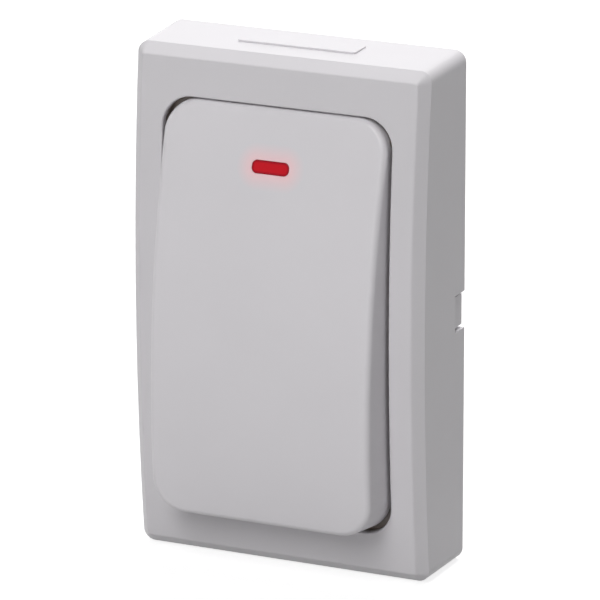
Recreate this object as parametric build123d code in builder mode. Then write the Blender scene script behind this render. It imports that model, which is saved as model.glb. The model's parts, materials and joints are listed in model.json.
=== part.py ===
from build123d import *
import math
import os

# A wireless bell push: a white case with a large sprung rocker, on a plate that is screwed to the wall.
# Millimetres. X is to the right, Z is up, and the wall is the plane Y = 0. The front looks along -Y, so a
# "depth" below is a distance out from the wall, and Plane.XZ.offset(depth) faces the visitor.

# Case
case_width = 51.7
case_height = 85.8
case_edge_depth = 15.0
case_crown = 2.4
case_draft = 0.4
case_corner = 1.95
bevel_on_face = 1.6
bevel_on_side = 1.9
bevel_softening = 0.45
side_wall = 2.35
face_wall = 1.8
name_panel_width = 20.6
name_panel_depth = 4.7
name_panel_rise = 0.25
name_panel_corner = 0.5
name_panel_from_wall = 6.1

# Window in the face, and the well behind it that the rocker sits in
window_width = 39.9
window_height = 69.5
window_corner = 5.0
window_edge = 0.3
well_wall = 1.5
deck_thickness = 1.2

# Battery, a 12 V cell lying across the case
battery_radius = 5.15
battery_length = 28.5
battery_cap_length = 1.0
battery_cap_radius = 2.6
battery_edge = 0.5
battery_height = -23.5
battery_clearance = 0.2
contact_thickness = 0.4
contact_play = 0.05
negative_spring_length = 4.0
negative_spring_radius = 2.8
negative_spring_wire = 0.5
negative_spring_turns = 3
cradle_wall = 1.4
cradle_end_height = 11.0
cradle_rib_x = 9.0
cradle_rib_height = 13.6
contact_height = 8.0
contact_tail_width = 1.8
contact_tail_overlap = 3.0

# Back plate
plate_thickness = 1.4
plate_gap = 0.2
plate_rib = 1.2
plate_rib_inset = 3.4
plate_rib_rise = 1.4
wall_screw_spacing = 66.0
wall_screw_hole_radius = 2.1
wall_screw_seat_radius = 4.0
wall_screw_seat_depth = 0.4
catch_width = 5.2
catch_gap = 0.5
catch_depth = 3.5
catch_front_gap = 0.2
catch_inset = 0.5
catch_arm_thickness = 1.2
catch_arm_reach = 6.6
catch_barb = 0.45
catch_barb_depth = 1.2
catch_barb_gap = 0.15
end_hook_width = 6.0
end_hook_spacing = 24.0

# Rocker
rocker_side_gap = 0.5
rocker_top_gap = 0.3
rocker_bottom_gap = 0.45
rocker_corner = 5.6
rocker_side_draft = 0.23
rocker_bottom_lean = 1.2
rocker_edge_radius = 1.0
rocker_wall = 1.6
rocker_top_recess = 0.2
rocker_peak_depth = 23.8
rocker_peak_height = -15.5
rocker_rib = 1.0
rocker_rib_x = 7.0
rocker_rib_rise = 3.65
pivot_height = 30.5
pivot_above_deck = 0.9
pivot_radius = 0.7
pivot_length = 1.3
pivot_clearance = 0.06
pivot_end_play = 0.15
press_angle = 1.2
press_spare = 0.25
hook_x = 11.0
hook_width = 5.0
hook_set_in = 0.25
hook_barb = 1.2
hook_barb_depth = 1.4
hook_clearance = 0.4
hook_stop_gap = 0.12

# Indicator lens in the rocker
lens_width = 6.5
lens_height = 2.15
lens_corner = 0.9
lens_centre_height = 25.4
lens_flange = 1.0
lens_flange_depth = 0.8
lens_fit = 0.03

# Return springs under the rocker
spring_x = 13.5
spring_height = -25.0
spring_radius = 2.5
spring_wire = 0.5
spring_turns = 4
spring_end_gap = 0.05
spring_seat_radius = 3.6
spring_seat_rise = 1.65
spring_post_gap = 0.35
spring_post_length = 2.0

# Circuit board
board_side_gap = 2.5
board_height = 50.0
board_thickness = 1.6
board_corner = 1.0
board_centre_height = 10.0
board_gap = 4.4
board_post_inset = 3.5
board_post_top = 31.0
board_post_bottom = -9.5
board_post_radius = 2.4
board_pin_radius = 0.9
board_hole_clearance = 0.15
board_screw_radius = 1.0
board_screw_head_radius = 1.9
board_screw_head_height = 1.4
board_screw_length = 5.0

# Push switch on the board
switch_size = 6.0
switch_depth = 3.5
switch_cover = 0.3
switch_height = 5.5
switch_stem_radius = 1.75
switch_stem_flange = 0.6
switch_stem_flange_depth = 0.6
switch_stem_play = 0.12
switch_stem_above_deck = 0.9
switch_gap = 0.1
switch_pusher_radius = 2.0
switch_well = 1.4
switch_hole_clearance = 0.75
switch_leg_width = 0.7
switch_leg_thickness = 0.3
switch_leg_spacing = 4.5
switch_leg_end = 1.0

# Indicator lamp
led_radius = 1.5
led_length = 5.3
led_flange_radius = 1.9
led_flange_depth = 1.0
led_below_lens = 0.5
led_hole_clearance = 0.25
led_lead = 0.5
led_lead_spacing = 2.54
led_lead_end = 1.2

# Radio parts, on the side of the board that faces the wall
chip_length = 8.7
chip_width = 3.9
chip_thickness = 1.5
chip_lift = 0.1
chip_x = 10.5
chip_height = 9.0
chip_pin_count = 7
chip_pin_pitch = 1.27
chip_pin_width = 0.4
chip_pin_reach = 1.0
chip_pin_thickness = 0.2
resonator_radius = 4.2
resonator_flange = 0.4
resonator_flange_depth = 0.5
resonator_depth = 3.3
resonator_edge = 0.5
resonator_x = 8.0
resonator_height = 23.0
antenna_from_rib = 0.8
antenna_bottom = 0.0
antenna_length = 22.0
antenna_radius = 1.6
antenna_wire = 0.6
antenna_turns = 6.5
antenna_solder = 0.15
transistor_x = -4.0
transistor_height = 22.0
transistor_length = 2.9
transistor_width = 1.3
transistor_thickness = 1.0
small_part_length = 2.0
small_part_width = 1.25
small_part_spacing = 4.0
small_part_count = 4
resistor_thickness = 0.5
resistor_x = -8.0
capacitor_thickness = 1.0
capacitor_x = -4.5
small_part_height = -2.0
supply_capacitor_radius = 2.0
supply_capacitor_length = 7.0
supply_capacitor_x = 9.0
supply_capacitor_height = -6.0
supply_capacitor_lead = 0.25
supply_capacitor_lead_spacing = 2.0
supply_capacitor_lead_reach = 1.5
lead_hole_clearance = 0.2


def arc_radius(rise, half_chord):
    """Radius of an arc that falls by rise over half_chord from its peak."""
    return (rise**2 + half_chord**2) / (2 * rise)


def arc_depth(face, height):
    """Depth of a face that is an arc in side view, given as (peak depth, peak height, radius)."""
    peak_depth, peak_height, radius = face
    return peak_depth - radius + math.sqrt(radius**2 - (height - peak_height) ** 2)


def side_outline(face, top, bottom, back_top, back_bottom):
    """Side view of a piece whose front is that arc. Its two back corners are (depth, height)."""
    middle = (top + bottom) / 2
    start = (-arc_depth(face, top), top)
    end = (-arc_depth(face, bottom), bottom)
    with BuildSketch(Plane.YZ) as outline:
        with BuildLine():
            Polyline(start, (-back_top[0], back_top[1]), (-back_bottom[0], back_bottom[1]), end)
            ThreePointArc(end, (-arc_depth(face, middle), middle), start)
        make_face()
    return outline.sketch


def plan_outline(back_depth, back_half_width, front_depth, front_half_width):
    """Plan of a piece whose sides draw in towards its front."""
    with BuildSketch(Plane.XY) as outline:
        with BuildLine():
            Polyline(
                (-back_half_width, -back_depth),
                (back_half_width, -back_depth),
                (front_half_width, -front_depth),
                (-front_half_width, -front_depth),
                close=True,
            )
        make_face()
    return outline.sketch


def corner_edges(piece):
    """The edges that run from back to front."""
    return piece.edges().filter_by(lambda edge: abs((edge % 0).Y) > abs((edge % 0).Z))


def draft_at(depth):
    """How far each side of the case has drawn in at that depth."""
    return case_draft * depth / case_edge_depth


def front_face(piece):
    """The crowned face, the largest cylinder of the piece."""
    return piece.faces().filter_by(GeomType.CYLINDER).sort_by(SortBy.AREA)[-1]


# Depths and places that follow from the sizes above
deck_back = plate_thickness + 2 * (battery_radius + battery_clearance)
deck_front = deck_back + deck_thickness
board_front = deck_back - board_gap
board_back = board_front - board_thickness
case_half_height = case_height / 2
case_half_width = case_width / 2
inner_half_width = case_half_width - side_wall
inner_half_height = case_half_height - side_wall
name_panel_top = case_half_height - draft_at(name_panel_from_wall) + name_panel_rise
face_half_height = case_half_height - case_draft
case_radius = arc_radius(case_crown, face_half_height)
case_face = (case_edge_depth + case_crown, 0, case_radius)
case_lining = (case_face[0] - face_wall, 0, case_radius - face_wall)
beyond_face = rocker_peak_depth + case_crown

rocker_top = window_height / 2 - rocker_top_gap
rocker_bottom = rocker_bottom_gap - window_height / 2
rocker_width = window_width - 2 * rocker_side_gap
rocker_rise = rocker_peak_depth - arc_depth(case_face, rocker_top) + rocker_top_recess
rocker_radius = arc_radius(rocker_rise, rocker_top - rocker_peak_height)
rocker_face = (rocker_peak_depth, rocker_peak_height, rocker_radius)
rocker_lining = (rocker_peak_depth - rocker_wall, rocker_peak_height, rocker_radius - rocker_wall)
rocker_rib_depth = rocker_lining[0] - rocker_rib_rise
pivot_depth = deck_front + pivot_above_deck
pivot_tip = rocker_width / 2 + pivot_length
press = math.radians(press_angle)
skirt_back_top = deck_front + press_spare
skirt_back_bottom = skirt_back_top + (pivot_height - rocker_bottom) * math.sin(press)

cradle_half = contact_thickness + contact_play + (negative_spring_length + battery_length) / 2
battery_centre_x = cradle_half - contact_thickness - contact_play - battery_length / 2
battery_depth = plate_thickness + battery_clearance + battery_radius

board_half_width = inner_half_width - board_side_gap
board_post_x = board_half_width - board_post_inset
board_bottom = board_centre_height - board_height / 2
contact_top = board_bottom + contact_tail_overlap

stem_tip = deck_front + switch_stem_above_deck
stem_travel = (pivot_height - switch_height) * math.sin(press)
stem_bore_bottom = board_front + switch_well
stem_base = stem_bore_bottom + stem_travel + switch_stem_play
stem_shoulder = switch_stem_radius + switch_stem_flange
switch_top = board_front + switch_depth
lens_back = arc_depth(rocker_lining, lens_centre_height + lens_height / 2) - lens_flange_depth
led_tip = lens_back - led_below_lens
led_base = led_tip - led_length

left_and_right = [-1, 1]
board_posts = [(-board_post_x, board_post_top), (board_post_x, board_post_bottom)]
board_pins = [(board_post_x, board_post_top), (-board_post_x, board_post_bottom)]
spring_places = [(-spring_x, spring_height), (spring_x, spring_height)]
end_hook_places = [
    (side * end_hook_spacing / 2, end * inner_half_height)
    for side in left_and_right
    for end in left_and_right
]
switch_legs_at = [
    (side * (switch_size + switch_leg_thickness) / 2, switch_height + end * switch_leg_spacing / 2)
    for side in left_and_right
    for end in left_and_right
]
led_leads_at = [(side * led_lead_spacing / 2, lens_centre_height) for side in left_and_right]
supply_lead_x = supply_capacitor_x - supply_capacitor_length / 2 - supply_capacitor_lead_reach
supply_leads_at = [
    (supply_lead_x, supply_capacitor_height + side * supply_capacitor_lead_spacing / 2)
    for side in left_and_right
]
catch_mouth = catch_width + 2 * catch_gap
catch_outside = case_half_width - catch_inset
plate_half_width = inner_half_width - plate_gap
plate_half_height = inner_half_height - plate_gap
barb_back = catch_arm_reach - catch_barb_depth
barb_rise = catch_barb - catch_barb_gap
pocket_back = barb_back - catch_barb_gap
plate_corner = 0.5
plate_rib_half_width = plate_half_width - plate_rib_inset
plate_rib_half_height = plate_half_height - plate_rib_inset

hook_stop = deck_back - hook_stop_gap
hook_outside = rocker_bottom + hook_set_in
lens_seat = (rocker_lining[0] - lens_fit, rocker_peak_height, rocker_lining[2] - lens_fit)
spring_seat_depth = arc_depth(rocker_lining, spring_height) - spring_seat_rise
spring_post_radius = spring_radius - spring_wire / 2 - spring_post_gap
spring_coil_start = deck_front + spring_end_gap + spring_wire / 2
spring_coil_length = spring_seat_depth - deck_front - 2 * spring_end_gap - spring_wire
negative_coil_start = contact_thickness + spring_end_gap + negative_spring_wire / 2 - cradle_half
negative_coil_length = negative_spring_length - 2 * spring_end_gap - negative_spring_wire

chip_middle = board_back - chip_lift - chip_thickness / 2 - chip_pin_thickness / 2
pin_knee = -chip_middle - chip_pin_thickness
pin_foot_top = -board_back + chip_pin_thickness
antenna_coil_half = antenna_radius + antenna_wire / 2
antenna_x = plate_rib - plate_rib_half_width + antenna_from_rib + antenna_coil_half
antenna_depth = board_back - antenna_radius - antenna_wire
antenna_pitch = antenna_length / antenna_turns
antenna_slope = math.atan2(antenna_pitch, 2 * math.pi * antenna_radius)
antenna_leg = (board_back - antenna_depth - antenna_solder) / math.cos(antenna_slope)
supply_capacitor_depth = board_back - supply_capacitor_radius
lead_bend_back = supply_capacitor_lead - supply_capacitor_depth
lead_bend_front = -supply_capacitor_lead - supply_capacitor_depth

os.makedirs("parts", exist_ok=True)

# Front case: the hollow that its wall, well, board posts and battery cradle leave
with BuildPart() as case_hollow:
    extrude(
        side_outline(
            case_lining,
            inner_half_height,
            -inner_half_height,
            (0, inner_half_height),
            (0, -inner_half_height),
        ),
        amount=inner_half_width,
        both=True,
    )
    fillet(case_hollow.edges().filter_by(Axis.Y), max(case_corner - side_wall, 0.5))
    with BuildSketch(Plane.XZ.offset(deck_back)):
        RectangleRounded(
            window_width + 2 * well_wall,
            window_height + 2 * well_wall,
            window_corner + well_wall,
        )
    extrude(amount=beyond_face, mode=Mode.SUBTRACT)
    with BuildSketch(Plane.XZ.offset(board_front)):
        with Locations(*board_posts, *board_pins):
            Circle(board_post_radius)
    extrude(amount=board_gap, mode=Mode.SUBTRACT)
    with BuildSketch(Plane.XZ.offset(board_back - board_thickness / 2)):
        with Locations(*board_pins):
            Circle(board_pin_radius)
    extrude(amount=2 * board_thickness, mode=Mode.SUBTRACT)
    with BuildSketch(Plane.XZ.offset(plate_thickness + battery_clearance)):
        with Locations((-cradle_half - cradle_wall / 2, battery_height)):
            Rectangle(cradle_wall, cradle_end_height)
        with Locations((cradle_half + cradle_wall / 2, battery_height)):
            Rectangle(cradle_wall, cradle_end_height)
    extrude(amount=deck_back - plate_thickness - battery_clearance, mode=Mode.SUBTRACT)

# Ribs under the battery, hollowed to its shape
with BuildPart() as battery_ribs:
    with BuildSketch(Plane.XZ.offset(battery_depth)):
        with Locations(*[(side * cradle_rib_x, battery_height) for side in left_and_right]):
            Rectangle(cradle_wall, cradle_rib_height)
    extrude(amount=deck_back - battery_depth)
    with BuildSketch(Plane.YZ):
        with Locations((-battery_depth, battery_height)):
            Circle(battery_radius + battery_clearance)
    extrude(amount=case_half_width, both=True, mode=Mode.SUBTRACT)

with BuildPart() as front_housing:
    extrude(
        side_outline(
            case_face,
            face_half_height,
            -face_half_height,
            (0, case_half_height),
            (0, -case_half_height),
        ),
        amount=case_half_width,
        both=True,
    )
    extrude(
        plan_outline(0, case_half_width, beyond_face, case_half_width - draft_at(beyond_face)),
        amount=case_half_height,
        both=True,
        mode=Mode.INTERSECT,
    )
    fillet(corner_edges(front_housing), case_corner)
    crowned = front_face(front_housing)
    chamfer(
        crowned.edges(),
        length=bevel_on_face,
        length2=bevel_on_side,
        reference=crowned,
    )
    fillet(front_face(front_housing).edges(), bevel_softening)
    # Raised panel on the top
    with BuildSketch(Plane.XY.offset(inner_half_height)):
        with Locations((0, -name_panel_from_wall)):
            RectangleRounded(name_panel_width, name_panel_depth, name_panel_corner)
    extrude(amount=name_panel_top - inner_half_height)
    add(case_hollow.part, mode=Mode.SUBTRACT)
    add(battery_ribs.part)
    # Well
    with BuildSketch(Plane.XZ.offset(deck_front)):
        RectangleRounded(window_width, window_height, window_corner)
    extrude(amount=beyond_face, mode=Mode.SUBTRACT)
    fillet(front_face(front_housing).inner_wires()[0].edges(), window_edge)
    # Posts for the return springs
    with BuildSketch(Plane.XZ.offset(deck_front)):
        with Locations(*spring_places):
            Circle(spring_post_radius)
    extrude(amount=spring_post_length)
    # Holes in the deck for the switch stem, the lamp and the rocker's hooks
    with BuildSketch(Plane.XZ.offset(deck_back)):
        with Locations((0, switch_height)):
            Circle(switch_stem_radius + switch_hole_clearance)
        with Locations((0, lens_centre_height)):
            Circle(led_radius + led_hole_clearance)
        with Locations(*[(side * hook_x, rocker_bottom + rocker_wall / 2) for side in left_and_right]):
            Rectangle(hook_width + 2 * hook_clearance, rocker_wall + 2 * hook_clearance)
    extrude(amount=deck_thickness, mode=Mode.SUBTRACT)
    # Bearings for the rocker's pivots
    with BuildSketch(Plane.YZ):
        with Locations((-pivot_depth, pivot_height)):
            Circle(pivot_radius + pivot_clearance)
    extrude(amount=pivot_tip + pivot_end_play, both=True, mode=Mode.SUBTRACT)
    # Pilot holes for the board's screws
    with BuildSketch(Plane.XZ.offset(board_front)):
        with Locations(*board_posts):
            Circle(board_screw_radius + pivot_clearance)
    extrude(amount=board_gap, mode=Mode.SUBTRACT)
    # Side notches and barb pockets for the back plate's catches, and pockets for its end hooks
    with BuildSketch(Plane.XZ):
        with Locations(*[(side * case_half_width, 0) for side in left_and_right]):
            Rectangle(2 * side_wall, catch_mouth)
    extrude(amount=catch_depth + catch_front_gap, mode=Mode.SUBTRACT)
    with BuildSketch(Plane.XZ.offset(pocket_back)):
        with Locations(*[(side * inner_half_width, 0) for side in left_and_right]):
            Rectangle(2 * catch_barb, catch_mouth)
        with Locations(*end_hook_places):
            Rectangle(end_hook_width + 2 * catch_gap, 2 * catch_barb)
    extrude(amount=catch_barb_depth + 2 * catch_barb_gap, mode=Mode.SUBTRACT)
front_housing.part.label = "front_housing"

export_step(front_housing.part, "parts/front_housing.step")

# Rocker: what its skirt, ribs, switch pusher and spring seats leave hollow
with BuildPart() as rocker_hollow:
    extrude(
        side_outline(
            rocker_lining,
            rocker_top - rocker_wall,
            rocker_bottom + rocker_bottom_lean + rocker_wall,
            (deck_front, rocker_top - rocker_wall),
            (skirt_back_bottom - press_spare, rocker_bottom + rocker_wall),
        ),
        amount=rocker_width / 2 - rocker_wall,
        both=True,
    )
    fillet(corner_edges(rocker_hollow), rocker_corner - rocker_wall)
    with BuildSketch(Plane.XZ.offset(stem_tip + switch_gap)):
        with Locations((0, switch_height)):
            Circle(switch_pusher_radius)
    extrude(amount=beyond_face, mode=Mode.SUBTRACT)
    with BuildSketch(Plane.XZ.offset(spring_seat_depth)):
        with Locations(*spring_places):
            Circle(spring_seat_radius)
    extrude(amount=beyond_face, mode=Mode.SUBTRACT)
    with BuildSketch(Plane.XZ.offset(spring_seat_depth - spring_post_length)):
        with Locations(*spring_places):
            Circle(spring_post_radius)
    extrude(amount=beyond_face, mode=Mode.SUBTRACT)
    with BuildSketch(Plane.XZ.offset(rocker_rib_depth)):
        with Locations(*[(side * rocker_rib_x, 0) for side in left_and_right]):
            Rectangle(rocker_rib, window_height)
    extrude(amount=beyond_face, mode=Mode.SUBTRACT)

with BuildPart() as rocker:
    extrude(
        side_outline(
            rocker_face,
            rocker_top,
            rocker_bottom + rocker_bottom_lean,
            (skirt_back_top, rocker_top),
            (skirt_back_bottom, rocker_bottom),
        ),
        amount=rocker_width / 2,
        both=True,
    )
    extrude(
        plan_outline(
            deck_front,
            rocker_width / 2,
            rocker_peak_depth,
            rocker_width / 2 - rocker_side_draft,
        ),
        amount=window_height,
        both=True,
        mode=Mode.INTERSECT,
    )
    fillet(corner_edges(rocker), rocker_corner)
    fillet(front_face(rocker).edges(), rocker_edge_radius)
    add(rocker_hollow.part, mode=Mode.SUBTRACT)
    with BuildSketch(Plane.XZ):
        with Locations((0, lens_centre_height)):
            RectangleRounded(lens_width, lens_height, lens_corner)
    extrude(amount=beyond_face, mode=Mode.SUBTRACT)
    for side in left_and_right:
        with BuildSketch(Plane.YZ.offset(side * (rocker_width - rocker_wall) / 2)):
            with Locations((-pivot_depth, pivot_height)):
                Circle(pivot_radius)
        extrude(amount=side * (pivot_tip - (rocker_width - rocker_wall) / 2))
        # Hook that keeps the rocker in the case, reaching through the deck and catching behind it
        with BuildSketch(Plane.YZ.offset(side * hook_x)):
            with BuildLine():
                Polyline(
                    (-skirt_back_bottom - rocker_wall, hook_outside),
                    (-hook_stop, hook_outside),
                    (-hook_stop, rocker_bottom - hook_barb),
                    (-hook_stop + hook_barb_depth / 3, rocker_bottom - hook_barb),
                    (-hook_stop + hook_barb_depth, hook_outside),
                    (-hook_stop + hook_barb_depth, rocker_bottom + rocker_wall),
                    (-skirt_back_bottom - rocker_wall, rocker_bottom + rocker_wall),
                    close=True,
                )
            make_face()
        extrude(amount=hook_width / 2, both=True)
rocker.part.label = "rocker"
export_step(rocker.part, "parts/rocker.step")

# Indicator lens: a red window pushed in from behind until its flange seats
with BuildPart() as indicator_lens:
    with BuildSketch(Plane.XZ.offset(lens_back)):
        with Locations((0, lens_centre_height)):
            RectangleRounded(
                lens_width + 2 * lens_flange,
                lens_height + 2 * lens_flange,
                lens_corner + lens_flange,
            )
    extrude(amount=rocker_wall + lens_flange_depth)
    extrude(
        side_outline(lens_seat, rocker_top, rocker_bottom, (0, rocker_top), (0, rocker_bottom)),
        amount=rocker_width / 2,
        both=True,
        mode=Mode.INTERSECT,
    )
    with BuildSketch(Plane.XZ.offset(lens_back)):
        with Locations((0, lens_centre_height)):
            RectangleRounded(lens_width - 2 * lens_fit, lens_height - 2 * lens_fit, lens_corner)
    extrude(amount=beyond_face)
    extrude(
        side_outline(rocker_face, rocker_top, rocker_bottom, (0, rocker_top), (0, rocker_bottom)),
        amount=rocker_width / 2,
        both=True,
        mode=Mode.INTERSECT,
    )
indicator_lens.part.label = "indicator_lens"
export_step(indicator_lens.part, "parts/indicator_lens.step")

# Return springs, from the deck to the rocker
for name, side in [("left", -1), ("right", 1)]:
    with BuildPart() as return_spring:
        with BuildLine() as coil:
            Helix(
                pitch=spring_coil_length / spring_turns,
                height=spring_coil_length,
                radius=spring_radius,
                center=(side * spring_x, -spring_coil_start, spring_height),
                direction=(0, -1, 0),
            )
        with BuildSketch(Plane(origin=coil.line @ 0, z_dir=coil.line % 0)):
            Circle(spring_wire / 2)
        sweep(is_frenet=True)
    return_spring.part.label = "return_spring_" + name
    export_step(return_spring.part, "parts/return_spring_" + name + ".step")

# Back plate: screwed to the wall, with a catch at each side and two hooks at each end for the case
with BuildPart() as back_plate:
    with BuildSketch(Plane.XZ):
        RectangleRounded(2 * plate_half_width, 2 * plate_half_height, plate_corner)
    extrude(amount=plate_thickness)
    with BuildSketch(Plane.XZ.offset(plate_thickness)):
        Rectangle(2 * plate_rib_half_width, 2 * plate_rib_half_height)
        Rectangle(
            2 * (plate_rib_half_width - plate_rib),
            2 * (plate_rib_half_height - plate_rib),
            mode=Mode.SUBTRACT,
        )
    extrude(amount=plate_rib_rise)
    for side in left_and_right:
        with BuildSketch(Plane.XY):
            with BuildLine():
                Polyline(
                    (side * (plate_half_width - catch_arm_thickness), 0),
                    (side * catch_outside, 0),
                    (side * catch_outside, -catch_depth),
                    (side * plate_half_width, -catch_depth),
                    (side * plate_half_width, -barb_back),
                    (side * (inner_half_width + barb_rise), -barb_back),
                    (side * plate_half_width, -catch_arm_reach),
                    (side * (plate_half_width - catch_arm_thickness), -catch_arm_reach),
                    close=True,
                )
            make_face()
        extrude(amount=catch_width / 2, both=True)
    for x, end in end_hook_places:
        top = math.copysign(1, end)
        with BuildSketch(Plane.YZ.offset(x)):
            with BuildLine():
                Polyline(
                    (0, top * (plate_half_height - catch_arm_thickness)),
                    (0, top * plate_half_height),
                    (-barb_back, top * plate_half_height),
                    (-barb_back, top * (inner_half_height + barb_rise)),
                    (-catch_arm_reach, top * plate_half_height),
                    (-catch_arm_reach, top * (plate_half_height - catch_arm_thickness)),
                    close=True,
                )
            make_face()
        extrude(amount=end_hook_width / 2, both=True)
    with BuildSketch(Plane.XZ):
        with Locations((0, -wall_screw_spacing / 2), (0, wall_screw_spacing / 2)):
            Circle(wall_screw_hole_radius)
    extrude(amount=plate_thickness, mode=Mode.SUBTRACT)
    with BuildSketch(Plane.XZ.offset(plate_thickness - wall_screw_seat_depth)):
        with Locations((0, -wall_screw_spacing / 2), (0, wall_screw_spacing / 2)):
            Circle(wall_screw_seat_radius)
    extrude(amount=wall_screw_seat_depth, mode=Mode.SUBTRACT)
back_plate.part.label = "back_plate"
export_step(back_plate.part, "parts/back_plate.step")

# Battery
with BuildPart() as battery:
    with BuildSketch(Plane.YZ.offset(battery_centre_x - battery_length / 2)):
        with Locations((-battery_depth, battery_height)):
            Circle(battery_radius)
    extrude(amount=battery_length - battery_cap_length)
    fillet(battery.edges().filter_by(GeomType.CIRCLE), battery_edge)
    with BuildSketch(Plane.YZ.offset(battery_centre_x + battery_length / 2)):
        with Locations((-battery_depth, battery_height)):
            Circle(battery_cap_radius)
    extrude(amount=-battery_cap_length)
battery.part.label = "battery"
export_step(battery.part, "parts/battery.step")

# Battery contacts: strips against the cradle's ends, each with a tail up to the board
for name, side in [("negative_contact", -1), ("positive_contact", 1)]:
    with BuildPart() as contact:
        with BuildSketch(Plane.YZ.offset(side * cradle_half)):
            with Locations((-battery_depth, battery_height)):
                Rectangle(contact_height, contact_height)
            with Locations((-board_back + contact_tail_width / 2, (battery_height + contact_top) / 2)):
                Rectangle(contact_tail_width, contact_top - battery_height)
        extrude(amount=-side * contact_thickness)
    contact.part.label = name
    export_step(contact.part, "parts/" + name + ".step")

with BuildPart() as negative_spring:
    with BuildLine() as coil:
        Helix(
            pitch=negative_coil_length / negative_spring_turns,
            height=negative_coil_length,
            radius=negative_spring_radius,
            center=(negative_coil_start, -battery_depth, battery_height),
            direction=(1, 0, 0),
        )
    with BuildSketch(Plane(origin=coil.line @ 0, z_dir=coil.line % 0)):
        Circle(negative_spring_wire / 2)
    sweep(is_frenet=True)
negative_spring.part.label = "negative_spring"
export_step(negative_spring.part, "parts/negative_spring.step")

# Circuit board
with BuildPart() as circuit_board:
    with BuildSketch(Plane.XZ.offset(board_back)):
        with Locations((0, board_centre_height)):
            RectangleRounded(2 * board_half_width, board_height, board_corner)
        with Locations(*board_posts):
            Circle(board_screw_radius + board_hole_clearance, mode=Mode.SUBTRACT)
        with Locations(*board_pins):
            Circle(board_pin_radius + board_hole_clearance, mode=Mode.SUBTRACT)
        with Locations(*switch_legs_at):
            Circle(switch_leg_width / 2 + lead_hole_clearance, mode=Mode.SUBTRACT)
        with Locations(*led_leads_at):
            Circle(led_lead / 2 + lead_hole_clearance, mode=Mode.SUBTRACT)
        with Locations(*supply_leads_at):
            Circle(supply_capacitor_lead + lead_hole_clearance, mode=Mode.SUBTRACT)
    extrude(amount=board_thickness)
circuit_board.part.label = "circuit_board"
export_step(circuit_board.part, "parts/circuit_board.step")

# Screws that hold the board to its posts
with BuildPart() as board_screws:
    with BuildSketch(Plane.XZ.offset(board_back)):
        with Locations(*board_posts):
            Circle(board_screw_head_radius)
    extrude(amount=-board_screw_head_height)
    fillet(
        board_screws.edges().filter_by(GeomType.CIRCLE).group_by(Axis.Y)[-1],
        board_screw_head_height / 2,
    )
    with BuildSketch(Plane.XZ.offset(board_back)):
        with Locations(*board_posts):
            Circle(board_screw_radius)
    extrude(amount=board_screw_length)
board_screws.part.label = "board_screws"
export_step(board_screws.part, "parts/board_screws.step")

# Push switch: moulded body with a bore, steel cover, stem with a shoulder, and four legs
with BuildPart() as switch_body:
    with BuildSketch(Plane.XZ.offset(board_front)):
        with Locations((0, switch_height)):
            Rectangle(switch_size, switch_size)
    extrude(amount=switch_depth)
    with BuildSketch(Plane.XZ.offset(stem_bore_bottom)):
        with Locations((0, switch_height)):
            Circle(stem_shoulder + switch_stem_play)
    extrude(amount=switch_depth, mode=Mode.SUBTRACT)
switch_body.part.label = "switch_body"
export_step(switch_body.part, "parts/switch_body.step")

with BuildPart() as switch_cover_plate:
    with BuildSketch(Plane.XZ.offset(switch_top)):
        with Locations((0, switch_height)):
            Rectangle(switch_size, switch_size)
            Circle(switch_stem_radius + switch_stem_play, mode=Mode.SUBTRACT)
    extrude(amount=switch_cover)
switch_cover_plate.part.label = "switch_cover"
export_step(switch_cover_plate.part, "parts/switch_cover.step")

with BuildPart() as switch_stem:
    with BuildSketch(Plane.XZ.offset(stem_base)):
        with Locations((0, switch_height)):
            Circle(stem_shoulder)
    extrude(amount=switch_stem_flange_depth)
    with BuildSketch(Plane.XZ.offset(stem_base)):
        with Locations((0, switch_height)):
            Circle(switch_stem_radius)
    extrude(amount=stem_tip - stem_base)
switch_stem.part.label = "switch_stem"
export_step(switch_stem.part, "parts/switch_stem.step")

with BuildPart() as switch_legs:
    with BuildSketch(Plane.XZ.offset(board_back - switch_leg_end)):
        with Locations(*switch_legs_at):
            Rectangle(switch_leg_thickness, switch_leg_width)
    extrude(amount=switch_leg_end + board_thickness + switch_depth / 2)
switch_legs.part.label = "switch_legs"
export_step(switch_legs.part, "parts/switch_legs.step")

# Indicator lamp, standing off the board on its two leads
with BuildPart() as indicator_led:
    with BuildSketch(Plane.XZ.offset(led_base)):
        with Locations((0, lens_centre_height)):
            Circle(led_flange_radius)
    extrude(amount=led_flange_depth)
    with BuildSketch(Plane.XZ.offset(led_base)):
        with Locations((0, lens_centre_height)):
            Circle(led_radius)
    extrude(amount=led_length)
    fillet(indicator_led.edges().filter_by(GeomType.CIRCLE).group_by(Axis.Y)[0], led_radius * 0.95)
indicator_led.part.label = "indicator_led"
export_step(indicator_led.part, "parts/indicator_led.step")

with BuildPart() as led_leads:
    with BuildSketch(Plane.XZ.offset(board_back - led_lead_end)):
        with Locations(*led_leads_at):
            Rectangle(led_lead, led_lead)
    extrude(amount=led_base - board_back + led_lead_end)
led_leads.part.label = "led_leads"
export_step(led_leads.part, "parts/led_leads.step")

# Encoder chip and its legs
with BuildPart() as encoder_chip:
    with BuildSketch(Plane.XZ.offset(board_back - chip_lift)):
        with Locations((chip_x, chip_height)):
            Rectangle(chip_width, chip_length)
    extrude(amount=-chip_thickness)
encoder_chip.part.label = "encoder_chip"
export_step(encoder_chip.part, "parts/encoder_chip.step")

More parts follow.
